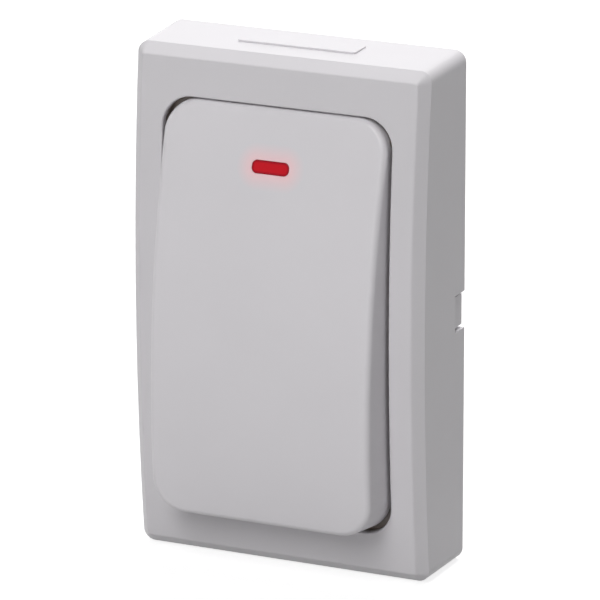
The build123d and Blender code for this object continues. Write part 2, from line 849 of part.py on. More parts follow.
with BuildPart() as chip_pins:
    for row in range(chip_pin_count):
        pin_height = chip_height + (row - (chip_pin_count - 1) / 2) * chip_pin_pitch
        for side in left_and_right:
            with BuildSketch(Plane.XY.offset(pin_height)):
                with BuildLine():
                    Polyline(
                        (chip_x + side * chip_width / 2, -chip_middle),
                        (chip_x + side * (chip_width / 2 + chip_pin_thickness * 2), -chip_middle),
                        (chip_x + side * (chip_width / 2 + chip_pin_thickness * 2), pin_foot_top),
                        (chip_x + side * (chip_width / 2 + chip_pin_reach), pin_foot_top),
                        (chip_x + side * (chip_width / 2 + chip_pin_reach), -board_back),
                        (chip_x + side * (chip_width / 2 + chip_pin_thickness), -board_back),
                        (chip_x + side * (chip_width / 2 + chip_pin_thickness), pin_knee),
                        (chip_x + side * chip_width / 2, pin_knee),
                        close=True,
                    )
                make_face()
            extrude(amount=chip_pin_width / 2, both=True)
chip_pins.part.label = "chip_pins"
export_step(chip_pins.part, "parts/chip_pins.step")

# Resonator in its round metal can
with BuildPart() as resonator_can:
    with BuildSketch(Plane.XZ.offset(board_back)):
        with Locations((resonator_x, resonator_height)):
            Circle(resonator_radius)
    extrude(amount=-resonator_depth)
    fillet(
        resonator_can.edges().filter_by(GeomType.CIRCLE).group_by(Axis.Y)[-1],
        resonator_edge,
    )
    with BuildSketch(Plane.XZ.offset(board_back)):
        with Locations((resonator_x, resonator_height)):
            Circle(resonator_radius + resonator_flange)
    extrude(amount=-resonator_flange_depth)
resonator_can.part.label = "resonator_can"
export_step(resonator_can.part, "parts/resonator_can.step")

# Aerial: a coil of bare wire along the board, whose two ends run straight on down to it
with BuildPart() as antenna_coil:
    with BuildLine() as coil:
        Helix(
            pitch=antenna_pitch,
            height=antenna_length,
            radius=antenna_radius,
            center=(antenna_x, -antenna_depth, antenna_bottom),
            direction=(0, 0, 1),
        )
    with BuildSketch(Plane(origin=coil.line @ 0, z_dir=coil.line % 0)):
        Circle(antenna_wire / 2)
    sweep(is_frenet=True)
    for end, onward in [(0, -1), (1, 1)]:
        with BuildSketch(Plane(origin=coil.line @ end, z_dir=coil.line % end)):
            Circle(antenna_wire / 2)
        extrude(amount=onward * antenna_leg)
antenna_coil.part.label = "antenna_coil"
export_step(antenna_coil.part, "parts/antenna_coil.step")

# Surface-mounted pieces
with BuildPart() as transistor:
    with BuildSketch(Plane.XZ.offset(board_back)):
        with Locations((transistor_x, transistor_height)):
            Rectangle(transistor_width, transistor_length)
    extrude(amount=-transistor_thickness)
transistor.part.label = "transistor"
export_step(transistor.part, "parts/transistor.step")

small_parts = [
    ("resistors", resistor_x, resistor_thickness),
    ("capacitors", capacitor_x, capacitor_thickness),
]
for name, column_x, thickness in small_parts:
    with BuildPart() as column:
        with BuildSketch(Plane.XZ.offset(board_back)):
            for row in range(small_part_count):
                with Locations((column_x, small_part_height + row * small_part_spacing)):
                    Rectangle(small_part_length, small_part_width)
        extrude(amount=-thickness)
    column.part.label = name
    export_step(column.part, "parts/" + name + ".step")

# Supply capacitor lying on the board, and its two bent leads
with BuildPart() as supply_capacitor:
    with BuildSketch(Plane.YZ.offset(supply_capacitor_x - supply_capacitor_length / 2)):
        with Locations((-supply_capacitor_depth, supply_capacitor_height)):
            Circle(supply_capacitor_radius)
    extrude(amount=supply_capacitor_length)
supply_capacitor.part.label = "supply_capacitor"
export_step(supply_capacitor.part, "parts/supply_capacitor.step")

with BuildPart() as supply_capacitor_leads:
    for x, height in supply_leads_at:
        with BuildSketch(Plane.XY.offset(height)):
            with BuildLine():
                Polyline(
                    (supply_capacitor_x - supply_capacitor_length / 2, lead_bend_back),
                    (x - supply_capacitor_lead, lead_bend_back),
                    (x - supply_capacitor_lead, -board_front),
                    (x + supply_capacitor_lead, -board_front),
                    (x + supply_capacitor_lead, lead_bend_front),
                    (supply_capacitor_x - supply_capacitor_length / 2, lead_bend_front),
                    close=True,
                )
            make_face()
        extrude(amount=supply_capacitor_lead, both=True)
supply_capacitor_leads.part.label = "supply_capacitor_leads"
export_step(supply_capacitor_leads.part, "parts/supply_capacitor_leads.step")
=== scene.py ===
import json
import math
import bpy
from mathutils import Matrix, Vector


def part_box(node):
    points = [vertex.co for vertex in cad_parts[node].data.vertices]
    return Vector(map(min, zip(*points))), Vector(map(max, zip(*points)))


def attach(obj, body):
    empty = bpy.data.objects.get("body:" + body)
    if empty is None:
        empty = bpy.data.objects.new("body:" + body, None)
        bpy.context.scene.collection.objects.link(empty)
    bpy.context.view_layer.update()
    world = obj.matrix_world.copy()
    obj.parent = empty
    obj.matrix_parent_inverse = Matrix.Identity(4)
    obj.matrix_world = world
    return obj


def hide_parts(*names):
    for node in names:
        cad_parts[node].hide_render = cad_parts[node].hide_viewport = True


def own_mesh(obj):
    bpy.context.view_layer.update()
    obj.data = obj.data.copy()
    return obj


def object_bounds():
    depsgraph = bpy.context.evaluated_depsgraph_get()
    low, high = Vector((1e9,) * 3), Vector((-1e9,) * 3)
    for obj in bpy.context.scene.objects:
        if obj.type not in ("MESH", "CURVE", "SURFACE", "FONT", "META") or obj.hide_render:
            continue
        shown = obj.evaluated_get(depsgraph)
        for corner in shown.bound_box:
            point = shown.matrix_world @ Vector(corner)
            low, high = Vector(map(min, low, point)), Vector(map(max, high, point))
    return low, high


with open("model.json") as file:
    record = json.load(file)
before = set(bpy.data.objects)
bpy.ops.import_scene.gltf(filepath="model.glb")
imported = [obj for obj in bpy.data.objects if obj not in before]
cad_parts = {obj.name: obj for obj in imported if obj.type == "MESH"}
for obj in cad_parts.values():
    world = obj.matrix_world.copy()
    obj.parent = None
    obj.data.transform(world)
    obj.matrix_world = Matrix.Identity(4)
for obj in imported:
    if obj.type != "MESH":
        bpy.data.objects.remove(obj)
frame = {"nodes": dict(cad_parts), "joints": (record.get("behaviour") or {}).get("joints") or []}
nodes = frame["nodes"]
cad_low, cad_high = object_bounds()

# Camera: a long lens, above the bell push and to its right, which is how catalogue pictures show such
# a small product. Its place and turns are the photograph's.
camera_place = (0.324652, -0.729392, 0.251298)
camera_azimuth = math.radians(24.2013)
camera_elevation = math.radians(17.5916)
camera_roll = math.radians(-0.1383)
sensor_width = 36
focal_length = 308.2
farthest_seen = 20
camera_turn = (
    Matrix.Rotation(camera_azimuth, 3, "Z")
    @ Matrix.Rotation(math.pi / 2 - camera_elevation, 3, "X")
    @ Matrix.Rotation(camera_roll, 3, "Z")
)
bpy.ops.object.camera_add(location=camera_place, rotation=camera_turn.to_euler())
camera = bpy.context.object
camera.data.sensor_width = sensor_width
camera.data.lens = focal_length
camera.data.clip_end = farthest_seen
bpy.context.scene.camera = camera
bpy.context.scene.view_settings.view_transform = "Standard"


# Table top: a smooth pale sheet under the bell push, which stands on its lower edge. The sheet glows a
# little for the camera, so that it is plain white wherever the bell push keeps no light off it.
def surface(name):
    """A new material, its node tree and its main shader."""
    material = bpy.data.materials.new(name)
    material.use_nodes = True
    tree = material.node_tree
    return material, tree, tree.nodes["Principled BSDF"]


def node(tree, kind, inputs, **settings):
    """A new shader node, each input given a value or joined to another node's output."""
    made = tree.nodes.new("ShaderNode" + kind)
    for name, value in settings.items():
        setattr(made, name, value)
    for name, value in inputs.items():
        if isinstance(value, bpy.types.NodeSocket):
            tree.links.new(value, made.inputs[name])
        else:
            made.inputs[name].default_value = value
    return made


def seen_directly(tree):
    """1 for rays from the camera, and for those that a glossy or clear surface sends on."""
    path = node(tree, "LightPath", {})
    seen = node(
        tree,
        "Math",
        {0: path.outputs["Is Camera Ray"], 1: path.outputs["Is Glossy Ray"]},
        operation="MAXIMUM",
    )
    return node(
        tree,
        "Math",
        {0: seen.outputs[0], 1: path.outputs["Is Transmission Ray"]},
        operation="MAXIMUM",
    ).outputs[0]


sheet_size = 8.0
sheet_colour = (0.42, 0.42, 0.42, 1)
sheet_glow = 0.8
bpy.ops.object.select_all(action="DESELECT")
bpy.ops.mesh.primitive_plane_add(size=sheet_size, location=(0, 0, cad_low.z))
table_top = bpy.context.object
table_top.name = "table_top"
bpy.ops.object.transform_apply(location=True, rotation=True, scale=True)
paper, tree, shader = surface("table_paper")
shader.inputs["Base Color"].default_value = sheet_colour
shader.inputs["Roughness"].default_value = 1.0
shader.inputs["Specular IOR Level"].default_value = 0.0
share = node(tree, "Math", {0: seen_directly(tree), 1: sheet_glow}, operation="MULTIPLY")
glow = node(tree, "Emission", {"Color": (1, 1, 1, 1), "Strength": share.outputs[0]})
lit = node(tree, "AddShader", {0: shader.outputs["BSDF"], 1: glow.outputs["Emission"]})
tree.links.new(lit.outputs[0], tree.nodes["Material Output"].inputs["Surface"])
table_top.data.materials.append(paper)

# Studio light: a wide softbox high up behind the bell push, two in front of it, a low white card and
# cards at its sides, in a dim room whose walls look plain white. Each lamp has a place, the length of
# its side in metres, and a power in watts.
room_light = 0.055
world = bpy.data.worlds.new("pale_room")
bpy.context.scene.world = world
world.use_nodes = True
tree = world.node_tree
dim = tree.nodes["Background"]
dim.inputs["Color"].default_value = (1, 1, 1, 1)
dim.inputs["Strength"].default_value = room_light
bright = node(tree, "Background", {"Color": (1, 1, 1, 1), "Strength": 1.0})
mixed = node(
    tree,
    "MixShader",
    {0: seen_directly(tree), 1: dim.outputs["Background"], 2: bright.outputs["Background"]},
)
tree.links.new(mixed.outputs[0], tree.nodes["World Output"].inputs["Surface"])

softboxes = {
    "back_softbox": ((0.0, 1.2, 2.2), 1.4, 52.0),
    "upper_front_softbox": ((0.0, -1.6, 1.9), 0.8, 14.8),
    "front_softbox": ((0.0, -2.1, 1.35), 0.8, 14.0),
    "low_card": ((0.0, -2.5, 0.1), 0.8, 7.8),
    "left_card": ((-2.4, -0.4, 0.4), 1.4, 2.0),
    "left_back_card": ((-1.3, 2.0, 0.75), 1.0, 2.7),
    "right_card": ((2.3, -0.7, 0.4), 1.4, 2.3),
}
for name, (place, size, power) in softboxes.items():
    towards = -Vector(place)
    bpy.ops.object.light_add(
        type="AREA",
        location=place,
        rotation=towards.to_track_quat("-Z", "Y").to_euler(),
    )
    lamp = bpy.context.object
    lamp.name = name
    lamp.data.shape = "SQUARE"
    lamp.data.size = size
    lamp.data.energy = power


# Front case: one injection moulding in white ABS. The mould was spark eroded to a fine satin grain,
# and the plastic's tone drifts very slightly where it flowed. Its well's walls are painted darker
# with depth in the narrow gap round the rocker, a painted shade.
def effect(name, inputs, outputs):
    """A new node group: itself, what comes in and what goes out."""
    group = bpy.data.node_groups.new(name, "ShaderNodeTree")
    for label, kind, value in inputs:
        socket = group.interface.new_socket(label, in_out="INPUT", socket_type="NodeSocket" + kind)
        socket.default_value = value
    for label, kind in outputs:
        group.interface.new_socket(label, in_out="OUTPUT", socket_type="NodeSocket" + kind)
    arriving = group.nodes.new("NodeGroupInput").outputs
    leaving = group.nodes.new("NodeGroupOutput").inputs
    return group, arriving, leaving


def use_effect(tree, group, values):
    """The outputs of the group placed in a material, with that material's own values."""
    return node(tree, "Group", values, node_tree=group).outputs


def feed(tree, shader, outputs):
    """Joins a group's outputs to the shader's sockets of the same names."""
    for output in outputs:
        tree.links.new(output, shader.inputs[output.name])


def dress(material, *names):
    """Gives those CAD nodes that material."""
    for name in names:
        for slot in nodes[name].material_slots:
            slot.material = material


moulding, arriving, leaving = effect(
    "moulded_plastic",
    [
        ("Plastic", "Color", (0.745, 0.735, 0.75, 1)),
        ("Tone Spread", "Float", 0.012),
        ("Grain Scale", "Float", 4200.0),
        ("Grain Strength", "Float", 0.12),
        ("Gloss", "Float", 0.42),
        ("Gloss Spread", "Float", 0.05),
    ],
    [("Base Color", "Color"), ("Roughness", "Float"), ("Normal", "Vector")],
)
flow_scale = 55.0
grain_depth = 0.00004
places = node(moulding, "TexCoord", {}).outputs["Object"]
flow = node(moulding, "TexNoise", {"Vector": places, "Scale": flow_scale, "Detail": 3.0})
drift = node(
    moulding,
    "MapRange",
    {"Value": flow.outputs["Fac"], "From Min": 0.3, "From Max": 0.7, "To Min": -1.0, "To Max": 1.0},
)
lift = node(
    moulding,
    "Math",
    {0: drift.outputs["Result"], 1: arriving["Tone Spread"], 2: 1.0},
    operation="MULTIPLY_ADD",
)
toned = node(moulding, "HueSaturation", {"Color": arriving["Plastic"], "Value": lift.outputs[0]})
grain = node(
    moulding,
    "TexNoise",
    {"Vector": places, "Scale": arriving["Grain Scale"], "Detail": 2.0, "Roughness": 0.6},
)
matt = node(
    moulding,
    "Math",
    {0: grain.outputs["Fac"], 1: arriving["Gloss Spread"], 2: arriving["Gloss"]},
    operation="MULTIPLY_ADD",
)
pitted = node(
    moulding,
    "Bump",
    {
        "Height": grain.outputs["Fac"],
        "Strength": arriving["Grain Strength"],
        "Distance": grain_depth,
    },
)
moulding.links.new(toned.outputs["Color"], leaving["Base Color"])
moulding.links.new(matt.outputs[0], leaving["Roughness"])
moulding.links.new(pitted.outputs["Normal"], leaving["Normal"])

# A Mix node's sockets for its two inputs and its result, for plain values and for colours.
mix_sockets = {"FLOAT": (2, 3, 0), "RGBA": (6, 7, 2)}


def blend(tree, mask, kind, below, above):
    """One value or colour where the mask is 0 and another where it is 1."""
    first, second, result = mix_sockets[kind]
    return node(tree, "Mix", {0: mask, first: below, second: above}, data_type=kind).outputs[result]


opening, arriving, leaving = effect(
    "distance_from_opening",
    [
        ("Centre", "Vector", (0, 0, 0)),
        ("Half Size", "Vector", (0.003, 0, 0.001)),
        ("Corner", "Float", 0.0009),
    ],
    [("Distance", "Float")],
)
places = node(opening, "TexCoord", {}).outputs["Object"]
moved = node(opening, "VectorMath", {0: places, 1: arriving["Centre"]}, operation="SUBTRACT")
flat = node(opening, "VectorMath", {0: moved.outputs[0], 1: (1, 0, 1)}, operation="MULTIPLY")
folded = node(opening, "VectorMath", {0: flat.outputs[0]}, operation="ABSOLUTE")
past = node(
    opening,
    "VectorMath",
    {0: folded.outputs[0], 1: arriving["Half Size"]},
    operation="SUBTRACT",
)
inset = node(opening, "CombineXYZ", {"X": arriving["Corner"], "Z": arriving["Corner"]})
cornered = node(opening, "VectorMath", {0: past.outputs[0], 1: inset.outputs[0]}, operation="ADD")
outer = node(opening, "VectorMath", {0: cornered.outputs[0], 1: (0, 0, 0)}, operation="MAXIMUM")
away = node(opening, "VectorMath", {0: outer.outputs[0]}, operation="LENGTH")
sides = node(opening, "SeparateXYZ", {0: cornered.outputs[0]})
nearest = node(opening, "Math", {0: sides.outputs["X"], 1: sides.outputs["Z"]}, operation="MAXIMUM")
within = node(opening, "Math", {0: nearest.outputs[0], 1: 0.0}, operation="MINIMUM")
both = node(opening, "Math", {0: away.outputs["Value"], 1: within.outputs[0]}, operation="ADD")
signed = node(opening, "Math", {0: both.outputs[0], 1: arriving["Corner"]}, operation="SUBTRACT")
opening.links.new(signed.outputs[0], leaving["Distance"])

# The case's face is crowned. Its fall is this times the square of the height from its middle.
crown_bend = 1.33
# Painted shade: darker with depth below the crowned face, down to the deck, in place of the gap's
# shade.
gap_shade, arriving, leaving = effect(
    "painted_gap_shade",
    [
        ("Plastic", "Color", (0.7, 0.7, 0.7, 1)),
        ("Painted Shade", "Color", (0.27, 0.215, 0.185, 1)),
        ("Middle Depth", "Float", 0.0174),
        ("Crown Bend", "Float", crown_bend),
        ("Unshaded Depth", "Float", 0.0006),
        ("Fully Shaded Depth", "Float", 0.0022),
        ("Deck Depth", "Float", 0.0132),
        ("Amount", "Float", 1.0),
    ],
    [("Base Color", "Color")],
)
places = node(gap_shade, "TexCoord", {}).outputs["Object"]
apart = node(gap_shade, "SeparateXYZ", {0: places})
height_squared = node(
    gap_shade,
    "Math",
    {0: apart.outputs["Z"], 1: apart.outputs["Z"]},
    operation="MULTIPLY",
)
falls = node(
    gap_shade,
    "Math",
    {0: height_squared.outputs[0], 1: arriving["Crown Bend"]},
    operation="MULTIPLY",
)
face = node(gap_shade, "Math", {0: arriving["Middle Depth"], 1: falls.outputs[0]}, operation="SUBTRACT")
sunk = node(gap_shade, "Math", {0: face.outputs[0], 1: apart.outputs["Y"]}, operation="ADD")
shaded_by_depth = node(
    gap_shade,
    "MapRange",
    {
        "Value": sunk.outputs[0],
        "From Min": arriving["Unshaded Depth"],
        "From Max": arriving["Fully Shaded Depth"],
    },
    interpolation_type="SMOOTHSTEP",
)
from_deck = node(gap_shade, "Math", {0: apart.outputs["Y"], 1: arriving["Deck Depth"]}, operation="ADD")
over_deck = node(gap_shade, "Math", {0: from_deck.outputs[0], 1: 0.0}, operation="LESS_THAN")
kept = node(
    gap_shade,
    "Math",
    {0: shaded_by_depth.outputs["Result"], 1: over_deck.outputs[0]},
    operation="MULTIPLY",
)
share = node(gap_shade, "Math", {0: kept.outputs[0], 1: arriving["Amount"]}, operation="MULTIPLY")
shaded_colour = blend(gap_shade, share.outputs[0], "RGBA", arriving["Plastic"], arriving["Painted Shade"])
gap_shade.links.new(shaded_colour, leaving["Base Color"])

well = {"Half Size": (0.01995, 0, 0.03475), "Corner": 0.005}
well_rim = 0.0003
well_shade_reach = 0.003
case_depth = -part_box("front_housing")[0].y
case_abs, tree, shader = surface("case_abs")
plastic = use_effect(tree, moulding, {"Plastic": (0.722, 0.703, 0.729, 1)})
feed(tree, shader, plastic)
distance = use_effect(tree, opening, well)["Distance"]
inside = node(tree, "Math", {0: distance, 1: well_rim}, operation="LESS_THAN").outputs[0]
fading = node(
    tree,
    "MapRange",
    {"Value": distance, "From Min": -well_shade_reach, "From Max": 0.0},
).outputs["Result"]
in_well = node(tree, "Math", {0: inside, 1: fading}, operation="MULTIPLY").outputs[0]
# The well's walls take the painted shade of the gap.
gap_shaded = use_effect(
    tree,
    gap_shade,
    {"Plastic": plastic["Base Color"], "Middle Depth": case_depth, "Amount": in_well},
)
feed(tree, shader, gap_shaded)
dress(case_abs, "front_housing")

# Rocker: the same white ABS, from a smoother mould, set a little lighter than the case as painted
# light on its face. A painted pink glow round the lens stands for red light soaking into the thin
# plastic there, its two pivots are painted dark as painted shade, and its walls take the gap's painted
# shade.
def extent(name):
    """Lowest and highest corners of a CAD node, in its own coordinates."""
    corners = nodes[name].bound_box
    return Vector(corners[0]), Vector(corners[6])


lens_low, lens_high = extent("indicator_lens")
lens_flange = 0.001
window = {
    "Centre": (lens_low + lens_high) / 2,
    "Half Size": (lens_high - lens_low) / 2 - Vector((lens_flange, 0, lens_flange)),
    "Corner": 0.0009,
}
# Painted light: a pink glow of the lamp, painted into the plastic's colour round the lens.
glow_reach = 0.0027
glow_fall = 1.2
painted_glow_pink = (1.0, 0.7, 0.73, 1)
# Painted shade: the pivot pins, which sit in the gap's shade, are painted near black.
pivot_root = 0.0175
pivot_radius = 0.00073
pivot_painted_shade = (0.07, 0.055, 0.045, 1)
rocker_unshaded_depth = 0.0012
rocker_abs, tree, shader = surface("rocker_abs")
# Set lighter than the case's plastic: painted light on the rocker's face.
plastic = use_effect(
    tree,
    moulding,
    {"Plastic": (0.785, 0.764, 0.793, 1), "Gloss": 0.38, "Grain Strength": 0.08},
)
feed(tree, shader, plastic)
distance = use_effect(tree, opening, window)["Distance"]
nearness = node(
    tree,
    "MapRange",
    {"Value": distance, "From Min": glow_reach, "From Max": 0.0},
).outputs["Result"]
painted_glow_share = node(tree, "Math", {0: nearness, 1: glow_fall}, operation="POWER").outputs[0]
glow_painted = blend(tree, painted_glow_share, "RGBA", plastic["Base Color"], painted_glow_pink)
hinge = next(joint for joint in frame["joints"] if joint["name"] == "rocker_hinge")
places = node(tree, "TexCoord", {}).outputs["Object"]
from_hinge = node(tree, "VectorMath", {0: places, 1: hinge["pos_m"]}, operation="SUBTRACT")
swung = node(tree, "VectorMath", {0: from_hinge.outputs[0], 1: (0, 1, 1)}, operation="MULTIPLY")
off_axis = node(tree, "VectorMath", {0: swung.outputs[0]}, operation="LENGTH").outputs["Value"]
round_axis = node(tree, "Math", {0: off_axis, 1: pivot_radius}, operation="LESS_THAN").outputs[0]
apart = node(tree, "SeparateXYZ", {0: places})
off_middle = node(tree, "Math", {0: apart.outputs["X"]}, operation="ABSOLUTE").outputs[0]
at_side = node(tree, "Math", {0: off_middle, 1: pivot_root}, operation="GREATER_THAN").outputs[0]
on_pivot = node(tree, "Math", {0: round_axis, 1: at_side}, operation="MULTIPLY").outputs[0]
pivot_shaded = blend(tree, on_pivot, "RGBA", glow_painted, pivot_painted_shade)
# The rocker's walls deep in the gap take the same painted shade.
gap_shaded = use_effect(
    tree,
    gap_shade,
    {"Plastic": pivot_shaded, "Middle Depth": case_depth, "Unshaded Depth": rocker_unshaded_depth},
)
feed(tree, shader, gap_shaded)
dress(rocker_abs, "rocker")

# Indicator lens: a window of clear red acrylic, pushed into the rocker from behind. Its edges are
# painted darker than its middle, a painted shade where it sits in the rocker's window.
lens_red = (0.68, 0.009, 0.02, 1)
# Painted shade at the lens's rim.
lens_rim_shade_red = (0.33, 0.007, 0.02, 1)
edge_begins = -0.0005
edge_ends = -0.00005
lens_acrylic, tree, shader = surface("lens_acrylic")
distance = use_effect(tree, opening, window)["Distance"]
edge = node(
    tree,
    "MapRange",
    {"Value": distance, "From Min": edge_begins, "From Max": edge_ends},
).outputs["Result"]
red = blend(tree, edge, "RGBA", lens_red, lens_rim_shade_red)
tree.links.new(red, shader.inputs["Base Color"])
shader.inputs["Roughness"].default_value = 0.3
shader.inputs["Specular IOR Level"].default_value = 0.15
dress(lens_acrylic, "indicator_lens")

# Back plate: moulded in the same ABS as the case, and left a little coarser where the wall hides it.
# The case clips over it, once two screws hold it to the wall.
plate_abs, tree, shader = surface("plate_abs")
feed(tree, shader, use_effect(tree, moulding, {"Plastic": (0.73, 0.711, 0.737, 1), "Gloss": 0.48}))
dress(plate_abs, "back_plate")

# Return springs: drawn spring steel, coiled to a constant pitch and oiled, slipped over the posts of
# the deck and pressed by the rocker.
finish, arriving, leaving = effect(
    "metal_finish",
    [
        ("Metal", "Color", (0.6, 0.6, 0.6, 1)),
        ("Tarnish", "Color", (0.3, 0.28, 0.25, 1)),
        ("Tarnish Amount", "Float", 0.25),
        ("Patch Scale", "Float", 350.0),
        ("Gloss", "Float", 0.22),
        ("Gloss Spread", "Float", 0.18),
    ],
    [("Base Color", "Color"), ("Roughness", "Float")],
)
places = node(finish, "TexCoord", {}).outputs["Object"]
patches = node(
    finish,
    "TexNoise",
    {"Vector": places, "Scale": arriving["Patch Scale"], "Detail": 4.0, "Roughness": 0.62},
)
dull = node(
    finish,
    "MapRange",
    {"Value": patches.outputs["Fac"], "From Min": 0.42, "From Max": 0.72},
)
dulled = node(
    finish,
    "Math",
    {0: dull.outputs["Result"], 1: arriving["Tarnish Amount"]},
    operation="MULTIPLY",
)
tinted = blend(finish, dulled.outputs[0], "RGBA", arriving["Metal"], arriving["Tarnish"])
rough = node(
    finish,
    "Math",
    {0: patches.outputs["Fac"], 1: arriving["Gloss Spread"], 2: arriving["Gloss"]},
    operation="MULTIPLY_ADD",
)
finish.links.new(tinted, leaving["Base Color"])
finish.links.new(rough.outputs[0], leaving["Roughness"])


def bare_metal(name, values):
    """A material that is metal all over, with that finish."""
    material, tree, shader = surface(name)
    shader.inputs["Metallic"].default_value = 1.0
    feed(tree, shader, use_effect(tree, finish, values))
    return material


spring_wire = bare_metal("spring_wire", {"Metal": (0.46, 0.45, 0.44, 1), "Gloss": 0.2})
wire_radius = 0.00025
wire_sides = 14
coil_turns = 4
steps_a_turn = 40
for side in ("left", "right"):
    low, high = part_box("return_spring_" + side)
    middle = (low + high) / 2
    bpy.ops.object.select_all(action="DESELECT")
    bpy.ops.mesh.primitive_circle_add(
        vertices=wire_sides,
        radius=wire_radius,
        location=((high.x - low.x) / 2 - wire_radius, 0, 0),
        rotation=(math.pi / 2, 0, 0),
    )
    coil = bpy.context.object
    coil.name = side + "_return_coil"
    bpy.ops.object.transform_apply(location=True, rotation=True, scale=True)
    screw = coil.modifiers.new("screw", "SCREW")
    screw.iterations = coil_turns
    screw.screw_offset = (high.y - low.y - 2 * wire_radius) / coil_turns
    screw.steps = steps_a_turn
    screw.render_steps = steps_a_turn
    bpy.ops.object.modifier_apply(modifier=screw.name)
    bpy.ops.object.mode_set(mode="EDIT")
    bpy.ops.mesh.select_mode(type="VERT")
    bpy.ops.mesh.select_all(action="DESELECT")
    bpy.ops.mesh.select_non_manifold()
    bpy.ops.mesh.edge_face_add()
    bpy.ops.mesh.select_all(action="SELECT")
    bpy.ops.mesh.normals_make_consistent(inside=False)
    bpy.ops.object.mode_set(mode="OBJECT")
    bpy.ops.object.shade_smooth()
    coil.rotation_euler = (math.pi / 2, 0, 0)
    coil.location = (middle.x, high.y - wire_radius, middle.z)
    bpy.ops.object.transform_apply(location=True, rotation=True, scale=True)
    coil.data.materials.append(spring_wire)
    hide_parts("return_spring_" + side)
    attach(coil, "case")
    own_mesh(coil)

# Battery contacts: strips of nickel plated steel with a coil spring at the negative end, pushed into
# the ends of the cradle. Their tails are soldered to the board.
contact_plating = bare_metal(
    "contact_plating",
    {"Metal": (0.66, 0.62, 0.56, 1), "Tarnish": (0.42, 0.36, 0.27, 1), "Gloss": 0.16},
)
dress(contact_plating, "positive_contact", "negative_contact", "negative_spring")

# Battery: a 12 V cell, laid across the case in its cradle. Its jacket is shrunk on, printed blue with
# a pale band at the positive end, and leaves the two nickel plated ends bare.
band, arriving, leaving = effect(
    "band_along",
    [
        ("Along", "Float", 0.0),
        ("Start", "Float", 0.0),
        ("End", "Float", 0.001),
        ("Edge", "Float", 0.00004),
    ],
    [("Mask", "Float")],
)
begun = node(band, "Math", {0: arriving["Along"], 1: arriving["Start"]}, operation="SUBTRACT")
ended = node(band, "Math", {0: arriving["End"], 1: arriving["Along"]}, operation="SUBTRACT")
deeper = node(band, "Math", {0: begun.outputs[0], 1: ended.outputs[0]}, operation="MINIMUM")
share = node(
    band,
    "Math",
    {0: deeper.outputs[0], 1: arriving["Edge"]},
    operation="DIVIDE",
    use_clamp=True,
)
band.links.new(share.outputs[0], leaving["Mask"])


def band_mask(tree, axis, start, end):
    """1 between two places along an axis of the object, and 0 elsewhere."""
    places = node(tree, "TexCoord", {}).outputs["Object"]
    apart = node(tree, "SeparateXYZ", {0: places})
    ends = {"Along": apart.outputs[axis], "Start": start, "End": end}
    return use_effect(tree, band, ends)["Mask"]


def cover(tree, shader, metal, mask, colour, gloss):
    """Bare metal where the mask is 0, and a coat of that colour and gloss over it where it is 1."""
    coloured = blend(tree, mask, "RGBA", metal["Base Color"], colour)
    tree.links.new(coloured, shader.inputs["Base Color"])
    polished = blend(tree, mask, "FLOAT", metal["Roughness"], gloss)
    tree.links.new(polished, shader.inputs["Roughness"])
    tree.links.new(blend(tree, mask, "FLOAT", 1.0, 0.0), shader.inputs["Metallic"])


bare_foot = 0.0007
bare_cap = 0.0018
pale_band = 0.007
line_band = (0.0078, 0.0074)
jacket_gloss = 0.28
cell_low, cell_high = extent("battery")
cell_jacket, tree, shader = surface("cell_jacket")
plating = use_effect(tree, finish, {"Metal": (0.66, 0.63, 0.58, 1), "Gloss": 0.18})
jacket = band_mask(tree, "X", cell_low.x + bare_foot, cell_high.x - bare_cap)
pale = band_mask(tree, "X", cell_high.x - pale_band, cell_high.x - bare_cap)
line = band_mask(tree, "X", cell_high.x - line_band[0], cell_high.x - line_band[1])
printed = blend(tree, pale, "RGBA", (0.03, 0.09, 0.26, 1), (0.55, 0.56, 0.57, 1))
printed = blend(tree, line, "RGBA", printed, (0.75, 0.75, 0.73, 1))
cover(tree, shader, plating, jacket, printed, jacket_gloss)
dress(cell_jacket, "battery")

# Circuit board: glass epoxy under a green solder mask. The copper tracks show as paler lines through
# the mask, and the sawn edges are bare laminate.
area_scale = 95.0
track_scale = 160.0
track_height = 0.00003
board_laminate, tree, shader = surface("board_laminate")
coordinates = node(tree, "TexCoord", {})
apart = node(tree, "SeparateXYZ", {0: coordinates.outputs["Object"]})
flattened = node(tree, "CombineXYZ", {"X": apart.outputs["X"], "Y": apart.outputs["Z"]}).outputs[0]
areas = node(
    tree,
    "TexNoise",
    {"Vector": flattened, "Scale": area_scale, "Detail": 0.0},
).outputs["Fac"]
# Tracks run both ways. Each way keeps to its own areas, past one level of the noise.
bundles = []
for along, beside, bare, covered in (("X", "Z", 0.53, 0.55), ("Z", "X", 0.48, 0.46)):
    level = node(tree, "CombineXYZ", {"X": apart.outputs[along], "Y": apart.outputs[beside]})
    routing = node(
        tree,
        "TexBrick",
        {
            "Vector": level.outputs[0],
            "Color1": (0, 0, 0, 1),
            "Color2": (0, 0, 0, 1),
            "Mortar": (1, 1, 1, 1),
            "Scale": track_scale,
            "Mortar Size": 0.035,
            "Mortar Smooth": 0.1,
            "Brick Width": 4.3,
            "Row Height": 0.2,
        },
    )
    routing.offset = 0.37
    laid = node(tree, "MapRange", {"Value": areas, "From Min": bare, "From Max": covered})
    bundles.append(
        node(
            tree,
            "Math",
            {0: routing.outputs["Fac"], 1: laid.outputs["Result"]},
            operation="MULTIPLY",
        ).outputs[0]
    )
track = node(tree, "Math", {0: bundles[0], 1: bundles[1]}, operation="MAXIMUM").outputs[0]
green = blend(tree, track, "RGBA", (0.012, 0.12, 0.05, 1), (0.04, 0.24, 0.09, 1))
facing = node(tree, "SeparateXYZ", {0: coordinates.outputs["Normal"]})
turned = node(tree, "Math", {0: facing.outputs["Y"]}, operation="ABSOLUTE").outputs[0]
